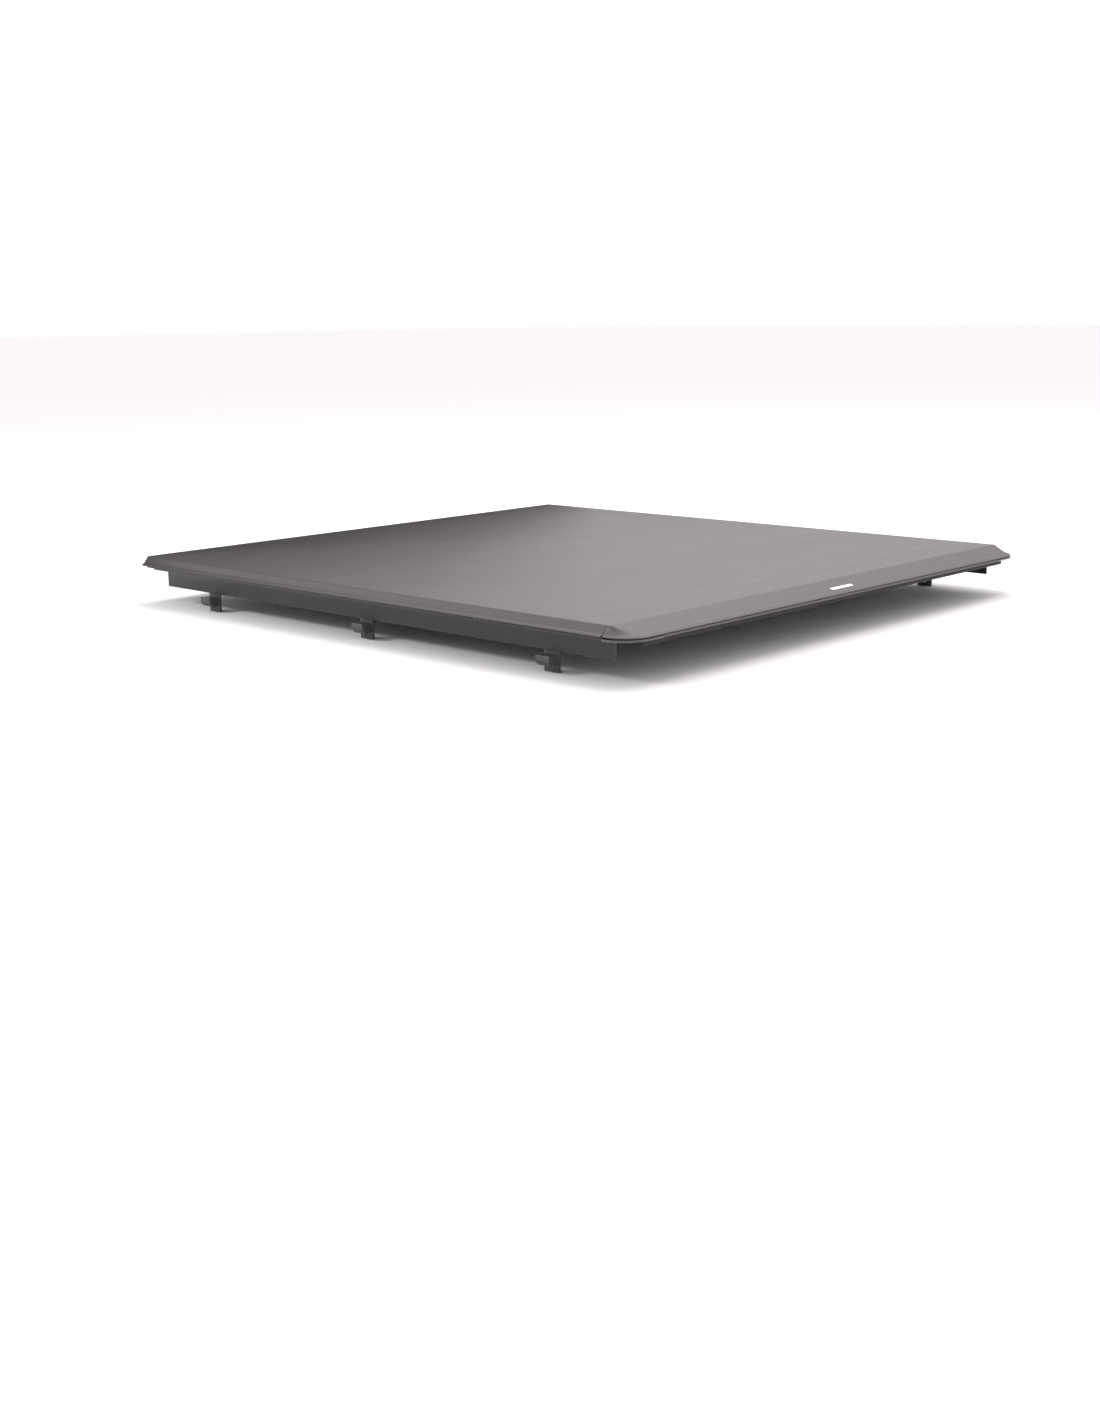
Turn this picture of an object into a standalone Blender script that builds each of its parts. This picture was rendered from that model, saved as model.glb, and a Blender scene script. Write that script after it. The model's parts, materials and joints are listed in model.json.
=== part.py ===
"""Soft roll-up tonneau cover for the load bed of a double-cab pickup.

A taut vinyl sheet lies over two aluminium side rails, a header bar at the bulkhead,
three cross bows and a rear bar. The sheet is cut across into sections that hinge at
its top face, so that it rolls up from the tailgate into a six-sided bundle on its own
front panel. Six clamps hold the rails to the bed's sides.

Metres. +X right, +Y forward (to the cab), +Z up. The origin is under the middle of the
cover, at the height of the clamp brackets' feet.
"""

from math import cos, pi, radians, sin, sqrt

import bmesh
import bpy
from mathutils import Matrix, Vector

# Driving dimensions -----------------------------------------------------------------

COVER_WIDTH = 1.510          # across the two side lips
COVER_LENGTH = 1.600         # from the bulkhead edge to the rear lip
BED_Z = 0.090                # top of the bed's side, above the clamp brackets' feet
TOP_RISE = 0.0285            # top face of the sheet above the bed's side
SIDE_LIP_RISE = 0.0090       # lower edge of the side lip above the bed's side
REAR_LIP_RISE = 0.0072       # upper edge of the sheet's hem along the tailgate
SIDE_INSET = 0.0205          # from the side lip in to the crease along the top
KNEE_INSET = 0.0080          # from the side lip in to the knee, where the lip flares
KNEE_RISE = 0.0130
REAR_SLOPE = 0.0620          # run of the rear slope, crease to the cover's rear edge
LIP_INSET = 0.0025           # from the cover's edge in to the rear panel's own lip
FRONT_INSET = 0.0025         # lean of the front wall
CORNER_RADIUS = 0.0620       # plan radius of the rear corners

SHEET = 0.0024               # vinyl, backing and seam allowance
GAP = 0.0003                 # between pieces that touch
WALL = 0.0022                # extruded aluminium

SECTION_COUNT = 14
FIRST_HINGE_Y = 0.615        # the sheet lies still in front of this line
REAR_HINGE_Y = -0.733        # in front of the rear bar
SECTION_GROWTH = 0.0058      # each section is this much longer than the one behind it

BOW_SECTIONS = (4, 8, 13)    # the sections that carry a cross bow
BOW_WIDTH = 0.038
BOW_DEPTH = 0.0118
BOW_HALF_SPAN = 0.692
BOW_WALL = 0.0018
BOW_CHAMFERS = (0.0030, 0.0018)  # along its foot and along its top

RAIL_FRONT_Y = 0.745
RAIL_REAR_Y = -0.7332
CLAMP_YS = (0.560, 0.0, -0.560)
JAW_RISE = -0.0540           # top of a clamp's jaw, below the bed's side

STRAP_X = 0.400
TAG_CENTRE_X = -0.005
TAG_SIZE = (0.082, 0.010, 0.0008)
TAG_SHARE = 0.60             # how far down the rear slope it sits

# Derived sizes
HALF_WIDTH = COVER_WIDTH / 2
FRONT_Y = COVER_LENGTH / 2
REAR_Y = -COVER_LENGTH / 2
TOP_Z = BED_Z + TOP_RISE
FRAME_TOP = TOP_Z - SHEET - GAP
CREASE_X = HALF_WIDTH - SIDE_INSET
KNEE_X = HALF_WIDTH - KNEE_INSET
REAR_CREASE_Y = REAR_Y + REAR_SLOPE


# Scene and materials ----------------------------------------------------------------

def clear_scene():
    """Remove whatever the startup file holds."""
    for old in list(bpy.data.objects):
        bpy.data.objects.remove(old, do_unlink=True)


def new_collection(name):
    """Make a collection under the scene's own."""
    made = bpy.data.collections.new(name)
    bpy.context.scene.collection.children.link(made)
    return made


def new_material(name, colour, roughness, metallic=0.0):
    """A Principled material with a colour, a roughness and a metallic value."""
    made = bpy.data.materials.new(name)
    made.use_nodes = True
    shader = made.node_tree.nodes["Principled BSDF"]
    shader.inputs["Base Color"].default_value = (*colour, 1.0)
    shader.inputs["Roughness"].default_value = roughness
    shader.inputs["Metallic"].default_value = metallic
    return made


clear_scene()
PARTS = new_collection("tonneau_cover")
CUTTERS = new_collection("cutters")

VINYL = new_material("black_vinyl", (0.055, 0.054, 0.056), 0.55)
ALUMINIUM = new_material("black_anodised_aluminium", (0.045, 0.045, 0.048), 0.42, 0.8)
MILL_ALUMINIUM = new_material("mill_aluminium", (0.62, 0.63, 0.64), 0.38, 1.0)
MOULDED = new_material("moulded_plastic", (0.030, 0.030, 0.032), 0.28)
CLAMP_METAL = new_material("cast_clamp_metal", (0.10, 0.10, 0.105), 0.50, 0.7)
STEEL = new_material("zinc_plated_steel", (0.60, 0.60, 0.58), 0.35, 1.0)
RUBBER = new_material("seal_rubber", (0.018, 0.018, 0.018), 0.75)
HOOK_TAPE = new_material("hook_tape", (0.025, 0.025, 0.026), 0.90)
WEBBING = new_material("strap_webbing", (0.030, 0.030, 0.032), 0.80)
TAG = new_material("woven_tag", (0.80, 0.80, 0.78), 0.70)


# Geometry helpers -------------------------------------------------------------------

def offset_path(path, distance, closed=False):
    """Move a 2D path sideways to its left, with mitred corners."""
    points = [Vector(p) for p in path]
    count = len(points)
    moved = []
    for i, point in enumerate(points):
        before = points[i - 1] if (i > 0 or closed) else None
        after = points[(i + 1) % count] if (i < count - 1 or closed) else None
        normals = []
        for a, b in ((before, point), (point, after)):
            if a is not None and b is not None:
                run = (b - a).normalized()
                normals.append(Vector((-run.y, run.x)))
        mitre = sum(normals, Vector((0.0, 0.0))).normalized()
        moved.append(tuple(point + mitre * (distance / mitre.dot(normals[0]))))
    return moved


def thickened(path, thickness):
    """Close an open path into an outline of a wall to its left."""
    return list(path) + list(reversed(offset_path(path, thickness)))


def evaluated_mesh(obj):
    """Read an object as the viewport shows it, then remove the object."""
    bpy.context.view_layer.update()
    seen = obj.evaluated_get(bpy.context.evaluated_depsgraph_get())
    mesh = bpy.data.meshes.new_from_object(seen)
    bpy.data.objects.remove(obj, do_unlink=True)
    return mesh


def weld(mesh, distance=0.00001):
    """Join an extruded outline's loose caps to its walls, all facing out."""
    work = bmesh.new()
    work.from_mesh(mesh)
    bmesh.ops.remove_doubles(work, verts=work.verts, dist=distance)
    bmesh.ops.recalc_face_normals(work, faces=work.faces)
    work.to_mesh(mesh)
    work.free()


def outline_mesh(outlines, length):
    """Extrude flat outlines (the first outside, the others holes) along local Z."""
    curve = bpy.data.curves.new("outline", "CURVE")
    curve.dimensions = "2D"
    curve.fill_mode = "BOTH"
    curve.extrude = length / 2
    for outline in outlines:
        spline = curve.splines.new("POLY")
        spline.points.add(len(outline) - 1)
        for point, (u, v) in zip(spline.points, outline):
            point.co = (u, v, 0.0, 1.0)
        spline.use_cyclic_u = True
    template = bpy.data.objects.new("outline", curve)
    PARTS.objects.link(template)
    mesh = evaluated_mesh(template)
    bpy.data.curves.remove(curve)
    weld(mesh)
    return mesh


def add_object(name, mesh, material, collection=None):
    """Put a mesh in the scene under its sub-part's name."""
    mesh.materials.clear()
    mesh.materials.append(material)
    made = bpy.data.objects.new(name, mesh)
    (collection or PARTS).objects.link(made)
    return made


def add_bevel(obj, width, segments=1, angle=35.0):
    """Break the sharp edges of an object."""
    bevel = obj.modifiers.new("edges", "BEVEL")
    bevel.width = width
    bevel.segments = segments
    bevel.limit_method = "ANGLE"
    bevel.angle_limit = radians(angle)


def extrusion_along_y(name, outlines, y_start, y_end, material, bevel=0.0):
    """A profile drawn in X and Z, run from one Y to another."""
    obj = add_object(name, outline_mesh(outlines, abs(y_end - y_start)), material)
    obj.rotation_euler = (pi / 2, 0.0, 0.0)
    obj.location = (0.0, (y_start + y_end) / 2, 0.0)
    if bevel:
        add_bevel(obj, bevel)
    return obj


def extrusion_along_x(name, outlines, x_start, x_end, material, bevel=0.0):
    """A profile drawn in Y and Z, run from one X to another."""
    obj = add_object(name, outline_mesh(outlines, abs(x_end - x_start)), material)
    obj.rotation_euler = (pi / 2, 0.0, pi / 2)
    obj.location = ((x_start + x_end) / 2, 0.0, 0.0)
    if bevel:
        add_bevel(obj, bevel)
    return obj


def block_cutter(name, low, high):
    """A box to cut with."""
    bpy.ops.mesh.primitive_cube_add(size=1.0)
    cutter = bpy.context.active_object
    cutter.name = name
    for collection in list(cutter.users_collection):
        collection.objects.unlink(cutter)
    CUTTERS.objects.link(cutter)
    low, high = Vector(low), Vector(high)
    cutter.data.transform(Matrix.Diagonal((*(high - low), 1.0)))
    cutter.data.transform(Matrix.Translation((low + high) / 2))
    cutter.hide_render = True
    cutter.display_type = "WIRE"
    return cutter


def cut(obj, cutter):
    """Take a cutter's shape out of an object."""
    boolean = obj.modifiers.new("cut_" + cutter.name, "BOOLEAN")
    boolean.operation = "DIFFERENCE"
    boolean.solver = "EXACT"
    boolean.object = cutter


def join(obj, other):
    """Add another solid's shape to an object."""
    boolean = obj.modifiers.new("join_" + other.name, "BOOLEAN")
    boolean.operation = "UNION"
    boolean.solver = "EXACT"
    boolean.object = other


def mirrored(outline, side):
    """Turn a right-hand profile into the profile of the given side."""
    return [(u * side, v) for u, v in outline]


SIDES = (("left", -1), ("right", 1))


# Sheet ------------------------------------------------------------------------------

def sheet_profile():
    """Top face of the sheet across the bed, from the left lip to the right one."""
    right = [
        (CREASE_X, TOP_Z),
        (KNEE_X, BED_Z + KNEE_RISE),
        (HALF_WIDTH, BED_Z + SIDE_LIP_RISE),
    ]
    return [(-x, z) for x, z in reversed(right)] + right


def hinge_lines():
    """Y of every hinge in the sheet, from the front panel to the rear bar."""
    span = FIRST_HINGE_Y - REAR_HINGE_Y
    growth_total = SECTION_GROWTH * SECTION_COUNT * (SECTION_COUNT - 1) / 2
    shortest = (span - growth_total) / SECTION_COUNT
    lines = [FIRST_HINGE_Y]
    for index in range(SECTION_COUNT):
        length = shortest + SECTION_GROWTH * (SECTION_COUNT - 1 - index)
        lines.append(lines[-1] - length)
    return lines


HINGES = hinge_lines()


def cover_section(number):
    """One stiff length of the sheet with its two side flaps."""
    outline = thickened(sheet_profile(), -SHEET)
    front = HINGES[number - 1] - GAP / 2
    back = HINGES[number] + GAP / 2
    extrusion_along_y(f"cover_section_{number:02d}", [outline], front, back, VINYL)


def ring_path(inset_x, inset_y, radius, rise_side, rise_end, y_open, y_edge, steps):
    """A line round three sides of a skirted panel, from its left open end to its right.

    The open side lies at y_open, and y_edge is the far edge before inset_y. The line's
    height goes from rise_side along the sides to rise_end along the far edge.
    """
    toward = 1.0 if y_edge > y_open else -1.0
    x = HALF_WIDTH - inset_x
    y = y_edge - toward * inset_y
    right = [(x, y_open, rise_side)]
    for step in range(steps + 1):
        turn = step / steps * pi / 2
        share = step / steps
        right.append((
            x - radius + radius * cos(turn),
            y - toward * radius + toward * radius * sin(turn),
            rise_side + (rise_end - rise_side) * share,
        ))
    left = [(-px, py, pz) for px, py, pz in right]
    return left + list(reversed(right))


def skirted_panel(name, rings):
    """A panel with walls on three sides: rings of equal length, from the top outwards."""
    work = bmesh.new()
    rows = [[work.verts.new((x, y, BED_Z + rise)) for x, y, rise in ring] for ring in rings]
    work.faces.new(rows[0])
    for upper, lower in zip(rows, rows[1:]):
        for i in range(len(upper) - 1):
            work.faces.new((upper[i], upper[i + 1], lower[i + 1], lower[i]))
    bmesh.ops.recalc_face_normals(work, faces=work.faces)
    if work.faces[:][0].normal.z < 0:
        bmesh.ops.reverse_faces(work, faces=work.faces)
    mesh = bpy.data.meshes.new(name)
    work.to_mesh(mesh)
    work.free()
    obj = add_object(name, mesh, VINYL)
    solid = obj.modifiers.new("sheet", "SOLIDIFY")
    solid.thickness = SHEET
    solid.offset = -1.0
    solid.use_even_offset = True
    return obj


def cover_front():
    """The front panel, which stays on the header and wraps its front face."""
    y_open = FIRST_HINGE_Y + GAP / 2
    rings = [
        ring_path(SIDE_INSET, FRONT_INSET, 0.004, TOP_RISE, TOP_RISE, y_open, FRONT_Y, 2),
        ring_path(KNEE_INSET, 0.0010, 0.007, KNEE_RISE, KNEE_RISE, y_open, FRONT_Y, 2),
        ring_path(0.0, 0.0, 0.010, SIDE_LIP_RISE, SIDE_LIP_RISE - 0.002, y_open, FRONT_Y, 2),
    ]
    skirted_panel("cover_front", rings)


def rear_slope_rise(y):
    """Height of the rear slope's outer face above the bed's side at a given Y."""
    share = (REAR_CREASE_Y - y) / (REAR_SLOPE - LIP_INSET)
    return TOP_RISE + (REAR_LIP_RISE - TOP_RISE) * share


def cover_rear():
    """The rear panel over the rear bar, with round corners and a long slope."""
    y_open = REAR_HINGE_Y - GAP / 2
    knee_y_inset = LIP_INSET + (KNEE_RISE - REAR_LIP_RISE) / (TOP_RISE - REAR_LIP_RISE) * (
        REAR_SLOPE - LIP_INSET)
    rings = [
        ring_path(SIDE_INSET, REAR_SLOPE, 0.004, TOP_RISE, TOP_RISE, y_open, REAR_Y, 8),
        ring_path(KNEE_INSET + 0.001, knee_y_inset, 0.026, KNEE_RISE, KNEE_RISE,
                  y_open, REAR_Y, 8),
        ring_path(LIP_INSET, LIP_INSET, CORNER_RADIUS - LIP_INSET,
                  SIDE_LIP_RISE, REAR_LIP_RISE, y_open, REAR_Y, 8),
    ]
    skirted_panel("cover_rear", rings)


# Side rails, seals and hook tape ----------------------------------------------------

RAIL_TOP_X = 0.7311
RAIL_OUTER_X = 0.7426
RAIL_SHOULDER_RISE = 0.0115
RAIL_FOOT_RISE = 0.0034
RAIL_LEG_X = 0.7121
RAIL_LEG_RISE = -0.0450
LEDGE_X = 0.6680
LEDGE_RISE = 0.0136
RAIL_INNER_X = 0.6949
FLANGE_X = (0.7421, 0.7526)
FLANGE_RISE = (0.0008, 0.0058)


def rail_profile():
    """Outer line of the open extrusion, from the ledge over the top to the leg."""
    top = FRAME_TOP - BED_Z
    return [(x, BED_Z + rise) for x, rise in (
        (LEDGE_X, LEDGE_RISE),
        (RAIL_INNER_X, LEDGE_RISE),
        (RAIL_INNER_X, top),
        (RAIL_TOP_X, top),
        (RAIL_OUTER_X, RAIL_SHOULDER_RISE),
        (RAIL_OUTER_X, RAIL_FOOT_RISE),
        (RAIL_LEG_X, RAIL_FOOT_RISE),
        (RAIL_LEG_X, RAIL_LEG_RISE),
    )]


def side_rails():
    """The two rails: ledge for the bows, leg for the clamps, flange under the side lip."""
    outline = thickened(rail_profile(), -WALL)
    for word, side in SIDES:
        rail = extrusion_along_y(f"side_rail_{word}", [mirrored(outline, side)],
                                 RAIL_REAR_Y, RAIL_FRONT_Y, ALUMINIUM)
        near, far = sorted(side * x for x in FLANGE_X)
        flange = block_cutter(f"rail_flange_{word}",
                              (near, RAIL_REAR_Y, BED_Z + FLANGE_RISE[0]),
                              (far, RAIL_FRONT_Y, BED_Z + FLANGE_RISE[1]))
        join(rail, flange)


def rail_seals():
    """Foam tape between each rail and the bed's side."""
    inner, outer = RAIL_LEG_X + 0.0015, RAIL_OUTER_X - 0.0008
    low, high = BED_Z + GAP, BED_Z + RAIL_FOOT_RISE - GAP
    outline = [(inner, low), (outer, low), (outer, high), (inner, high)]
    for word, side in SIDES:
        extrusion_along_y(f"rail_seal_{word}", [mirrored(outline, side)],
                          RAIL_REAR_Y, RAIL_FRONT_Y, RUBBER)


def hook_strips():
    """Hook tape on the outer slope of each rail, where the flaps stick down."""
    top = Vector((RAIL_TOP_X, FRAME_TOP))
    shoulder = Vector((RAIL_OUTER_X, BED_Z + RAIL_SHOULDER_RISE))
    slope = [tuple(top.lerp(shoulder, 0.10)), tuple(shoulder)]
    base = offset_path(slope, GAP)
    face = offset_path(slope, GAP + 0.0010)
    outline = [base[0], base[1], face[1], face[0]]
    for word, side in SIDES:
        extrusion_along_y(f"hook_strip_{word}", [mirrored(outline, side)],
                          RAIL_REAR_Y, FRONT_Y - 0.030, HOOK_TAPE)


# Header -----------------------------------------------------------------------------

HEADER_BACK_Y = 0.7465
HEADER_FRONT_Y = 0.7955
HEADER_FOOT_RISE = 0.0045
HEADER_HALF_SPAN = 0.6940


def header_bar():
    """Hollow bar across the bulkhead."""
    outer = [
        (HEADER_BACK_Y, BED_Z + HEADER_FOOT_RISE),
        (HEADER_FRONT_Y, BED_Z + HEADER_FOOT_RISE),
        (HEADER_FRONT_Y, FRAME_TOP - 0.003),
        (HEADER_FRONT_Y - 0.003, FRAME_TOP),
        (HEADER_BACK_Y, FRAME_TOP),
    ]
    extrusion_along_x("header_bar", [outer, offset_path(outer, WALL, closed=True)],
                      -HEADER_HALF_SPAN, HEADER_HALF_SPAN, ALUMINIUM)


def header_corners():
    """Cast corners that join the header to the rails."""
    start = HEADER_HALF_SPAN + GAP
    outline = [
        (start, BED_Z + HEADER_FOOT_RISE),
        (RAIL_OUTER_X, BED_Z + HEADER_FOOT_RISE),
        (RAIL_OUTER_X, BED_Z + RAIL_SHOULDER_RISE),
        (RAIL_TOP_X, FRAME_TOP),
        (start, FRAME_TOP),
    ]
    for word, side in SIDES:
        extrusion_along_y(f"header_corner_{word}", [mirrored(outline, side)],
                          RAIL_FRONT_Y + GAP, HEADER_FRONT_Y, MOULDED, bevel=0.0008)


SEAL_BACK_Y = 0.7520
SEAL_NOSE_Y = 0.7972
SEAL_HALF_SPAN = 0.7380


def bulkhead_seal():
    """Flat seal under the header, with a round nose against the bulkhead."""
    low, high = BED_Z + GAP, BED_Z + HEADER_FOOT_RISE - GAP
    radius = (high - low) / 2
    nose_y = SEAL_NOSE_Y - radius
    outline = [(SEAL_BACK_Y, high), (SEAL_BACK_Y, low)]
    for step in range(7):
        turn = -pi / 2 + step / 6 * pi
        outline.append((nose_y + radius * cos(turn), low + radius + radius * sin(turn)))
    extrusion_along_x("bulkhead_seal", [outline], -SEAL_HALF_SPAN, SEAL_HALF_SPAN, RUBBER)


# Cross bows and rear bar ------------------------------------------------------------

def cross_bows():
    """Flat hollow bows under the sheet, with their ends on the rails' ledges."""
    for index, number in enumerate(BOW_SECTIONS, start=1):
        centre = (HINGES[number - 1] + HINGES[number]) / 2
        half = BOW_WIDTH / 2
        low, high = FRAME_TOP - BOW_DEPTH, FRAME_TOP
        foot, brow = BOW_CHAMFERS
        outer = [
            (centre - half, low + foot), (centre - half + foot, low),
            (centre + half - foot, low), (centre + half, low + foot),
            (centre + half, high - brow), (centre + half - brow, high),
            (centre - half + brow, high), (centre - half, high - brow),
        ]
        extrusion_along_x(f"cross_bow_{index}", [outer, offset_path(outer, BOW_WALL, closed=True)],
                          -BOW_HALF_SPAN, BOW_HALF_SPAN, MILL_ALUMINIUM)


REAR_BAR_HALF_SPAN = 0.6880
REAR_BAR_FRONT_Y = -0.7340
REAR_BAR_BACK_Y = -0.7860
REAR_BAR_BEND_Y = -0.7373    # where its top turns down under the rear slope
REAR_BAR_FOOT_RISE = 0.0005
PLUNGER_LENGTH = 0.058
PLUNGER_TRAVEL = 0.012
PLUNGER_Y = (-0.7545, -0.7405)
PLUNGER_RISE = (0.0054, 0.0140)
TAB_X = 0.646
TAB_Y = (-0.7515, -0.7435)


def under_rear_slope(y):
    """Height of whatever lies close under the rear slope at a given Y."""
    lean = sqrt(1 + ((TOP_RISE - REAR_LIP_RISE) / (REAR_SLOPE - LIP_INSET)) ** 2)
    return BED_Z + rear_slope_rise(y) - (SHEET + GAP) * lean


def rear_bar():
    """Hollow bar along the tailgate, with a slot near each end for a latch's finger tab."""
    foot = BED_Z + REAR_BAR_FOOT_RISE
    outer = [
        (REAR_BAR_BACK_Y, foot),
        (REAR_BAR_FRONT_Y, foot),
        (REAR_BAR_FRONT_Y, FRAME_TOP),
        (REAR_BAR_BEND_Y, FRAME_TOP),
        (REAR_BAR_BACK_Y, under_rear_slope(REAR_BAR_BACK_Y)),
    ]
    bar = extrusion_along_x("rear_bar", [outer, offset_path(outer, WALL, closed=True)],
                            -REAR_BAR_HALF_SPAN, REAR_BAR_HALF_SPAN, ALUMINIUM)
    for word, side in SIDES:
        near = side * (TAB_X - 0.0065)
        far = side * (TAB_X + PLUNGER_TRAVEL + 0.0065)
        cutter = block_cutter(f"tab_slot_{word}",
                              (min(near, far), TAB_Y[0] - 0.0010, foot - 0.004),
                              (max(near, far), TAB_Y[1] + 0.0010, foot + WALL + 0.0005))
        cut(bar, cutter)


def latch_plungers():
    """Sliding bolts in the ends of the rear bar, each with a finger tab below."""
    outer_end = REAR_BAR_HALF_SPAN - 0.002
    low, high = (BED_Z + rise for rise in PLUNGER_RISE)
    for word, side in SIDES:
        ends = sorted((side * outer_end, side * (outer_end - PLUNGER_LENGTH)))
        outline = [(PLUNGER_Y[0], low), (PLUNGER_Y[1], low),
                   (PLUNGER_Y[1], high), (PLUNGER_Y[0], high)]
        plunger = extrusion_along_x(f"latch_plunger_{word}", [outline], *ends, STEEL)
        tab = block_cutter(f"finger_tab_{word}",
                           (side * TAB_X - 0.005, TAB_Y[0], BED_Z - 0.012),
                           (side * TAB_X + 0.005, TAB_Y[1], low + 0.002))
        join(plunger, tab)


def rear_seal():
    """Rubber wiper below the rear bar, down on the tailgate."""
    top = BED_Z + REAR_BAR_FOOT_RISE - GAP
    outline = [
        (-0.7845, top), (-0.7845, BED_Z - 0.0110), (-0.7795, BED_Z - 0.0135),
        (-0.7750, BED_Z - 0.0110), (-0.7765, top),
    ]
    extrusion_along_x("rear_seal", [outline], -0.6890, 0.6890, RUBBER)


def rear_piping():
    """Stiff hem bead under the sheet's rear edge, between the corner caps."""
    low, high = (BED_Z + rise for rise in CAP_LIP_RISE)
    radius = (high - low) / 2
    middle = low + radius
    outline = []
    for centre_y, first in ((REAR_Y + radius, pi / 2), (-0.7905, -pi / 2)):
        for step in range(7):
            turn = first + step / 6 * pi
            outline.append((centre_y + radius * cos(turn), middle + radius * sin(turn)))
    extrusion_along_x("rear_piping", [outline], -0.6480, 0.6480, VINYL)


def blank_tag():
    """Plain woven tag on the rear slope, with nothing on it."""
    centre_y = REAR_CREASE_Y - TAG_SHARE * REAR_SLOPE
    length, height, thickness = TAG_SIZE
    work = bmesh.new()
    bmesh.ops.create_cube(work, size=1.0)
    bmesh.ops.scale(work, vec=(length, height, thickness), verts=work.verts)
    mesh = bpy.data.meshes.new("blank_tag")
    work.to_mesh(mesh)
    work.free()
    tag = add_object("blank_tag", mesh, TAG)
    fall = (TOP_RISE - REAR_LIP_RISE) / (REAR_SLOPE - LIP_INSET)
    slope = Vector((0.0, 1.0, fall)).normalized()
    normal = Vector((0.0, -slope.z, slope.y))
    tag.rotation_euler = slope.rotation_difference(Vector((0.0, 1.0, 0.0))).inverted().to_euler()
    on_slope = Vector((TAG_CENTRE_X, centre_y, BED_Z + rear_slope_rise(centre_y)))
    tag.location = on_slope + normal * (GAP + thickness / 2)


# Corner caps ------------------------------------------------------------------------

CAP_INNER_X = 0.6900
CAP_TONGUE_X = 0.6483
CAP_FRONT_Y = RAIL_REAR_Y - GAP
CAP_LIP_RISE = (0.0, REAR_LIP_RISE - SHEET - GAP)
CAP_TONGUE_DEPTH = 0.0085


def cap_lip_outline(side):
    """Plan of a cap's lip: round at the corner, with a tongue along the tailgate."""
    outline = [(CAP_INNER_X, CAP_FRONT_Y), (HALF_WIDTH, CAP_FRONT_Y)]
    for step in range(9):
        turn = step / 8 * pi / 2
        outline.append((HALF_WIDTH - CORNER_RADIUS + CORNER_RADIUS * cos(turn),
                        REAR_Y + CORNER_RADIUS - CORNER_RADIUS * sin(turn)))
    outline += [(CAP_TONGUE_X, REAR_Y), (CAP_TONGUE_X, REAR_Y + CAP_TONGUE_DEPTH),
                (CAP_INNER_X, REAR_Y + CAP_TONGUE_DEPTH)]
    return mirrored(outline, side)


def cap_body_ring(x_outer, y_outer, radius, rise, side, steps=8):
    """One level of a cap's body: straight inside, round at the corner."""
    inner_x, front_y = CAP_INNER_X + 0.0004, CAP_FRONT_Y - 0.0004
    ring = [(inner_x, front_y), (x_outer, front_y)]
    for step in range(steps + 1):
        turn = step / steps * pi / 2
        ring.append((x_outer - radius + radius * cos(turn),
                     y_outer + radius - radius * sin(turn)))
    ring.append((inner_x, y_outer))
    return [(x * side, y, BED_Z + rise) for x, y in ring]


def lofted_mesh(name, rings):
    """Close a stack of equal rings into one solid."""
    work = bmesh.new()
    rows = [[work.verts.new(point) for point in ring] for ring in rings]
    for lower, upper in zip(rows, rows[1:]):
        for i in range(len(lower)):
            j = (i + 1) % len(lower)
            work.faces.new((lower[i], lower[j], upper[j], upper[i]))
    work.faces.new(rows[0])
    work.faces.new(rows[-1])
    bmesh.ops.recalc_face_normals(work, faces=work.faces)
    mesh = bpy.data.meshes.new(name)
    work.to_mesh(mesh)
    work.free()
    return mesh


def corner_caps():
    """Moulded caps on the rails' rear ends: a round lip, and a body under the sheet."""
    lip_low, lip_high = CAP_LIP_RISE
    under = SHEET + GAP + 0.0015
    knee_y = REAR_CREASE_Y - (TOP_RISE - KNEE_RISE) / (TOP_RISE - REAR_LIP_RISE) * (
        REAR_SLOPE - LIP_INSET)
    for word, side in SIDES:
        lip = outline_mesh([cap_lip_outline(side)], lip_high - lip_low)
        lip.transform(Matrix.Translation((0.0, 0.0, BED_Z + (lip_low + lip_high) / 2)))
        cap = add_object(f"corner_cap_{word}", lip, MOULDED)
        body = lofted_mesh("cap_body", [
            cap_body_ring(KNEE_X - 0.0020, REAR_Y + 0.0150, 0.045, lip_high - 0.0015, side),
            cap_body_ring(KNEE_X - 0.0060, knee_y + 0.0030, 0.024, KNEE_RISE - under, side),
            cap_body_ring(CREASE_X - 0.0045, REAR_CREASE_Y + 0.0008, 0.003,
                          FRAME_TOP - BED_Z - 0.0012, side),
        ])
        body_cutter = bpy.data.objects.new(f"cap_body_{word}", body)
        CUTTERS.objects.link(body_cutter)
        body_cutter.hide_render = True
        body_cutter.display_type = "WIRE"
        join(cap, body_cutter)
        pocket_far = side * (CAP_INNER_X + PLUNGER_TRAVEL + 0.0015)
        pocket_near = side * (CAP_INNER_X - 0.003)
        pocket = block_cutter(f"pocket_{word}",
                              (min(pocket_near, pocket_far), PLUNGER_Y[0] - 0.0010,
                               BED_Z + lip_high + 0.0004),
                              (max(pocket_near, pocket_far), PLUNGER_Y[1] + 0.0010,
                               BED_Z + PLUNGER_RISE[1] + 0.0010))
        cut(cap, pocket)


# Clamps -----------------------------------------------------------------------------

BRACKET_X = (0.7030, 0.7093)
BRACKET_HALF_WIDTH = 0.020
HOOK_REACH_X = 0.7240
BOLT_RISE = JAW_RISE - 0.0100
JAW_TRAVEL = 0.012
BOLT_RADIUS = 0.0040


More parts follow.
